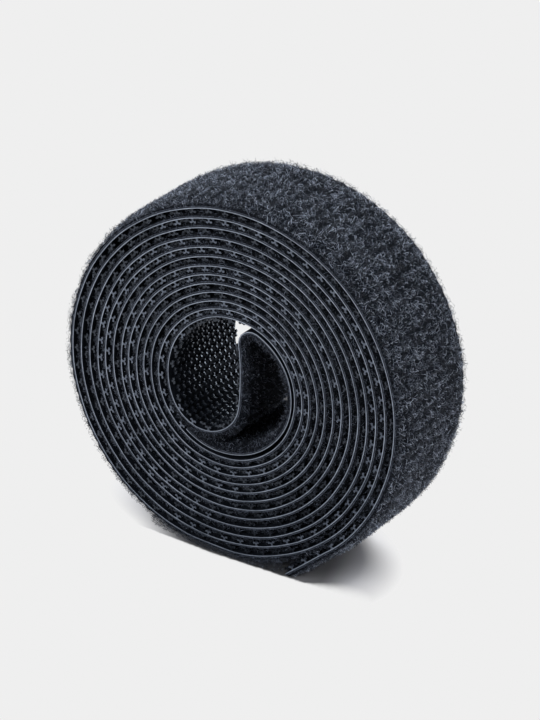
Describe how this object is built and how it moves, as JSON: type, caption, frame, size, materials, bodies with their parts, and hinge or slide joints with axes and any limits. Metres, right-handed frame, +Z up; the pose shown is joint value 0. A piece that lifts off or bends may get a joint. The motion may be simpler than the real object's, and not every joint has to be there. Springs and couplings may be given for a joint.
{
  "type": "hook and loop tape roll",
  "caption": "Coreless roll of back-to-back hook and loop tape, wound loop side out, with a free tail and an inner end folded back across the core.",
  "frame": {"origin": "on the floor, on the flat that the roll rests on, straight under the roll's axis and midway across the tape", "axes": "+Z up, +Y along the roll's axis from the front edge in the picture to the back edge, +X towards the tail"},
  "size_m": [0.0598, 0.02, 0.0588],
  "materials": {
    "hook_film": "black moulded film with two-pronged hooks, paler on its slit edges",
    "bond_layer": "thin translucent adhesive",
    "loop_fabric": "black knitted loop fabric with a brushed, fuzzy pile"
  },
  "bodies": {
    "root": {"hook_film": "hook_film", "bond_layer": "bond_layer", "loop_fabric": "loop_fabric"}
  },
  "joints": []
}
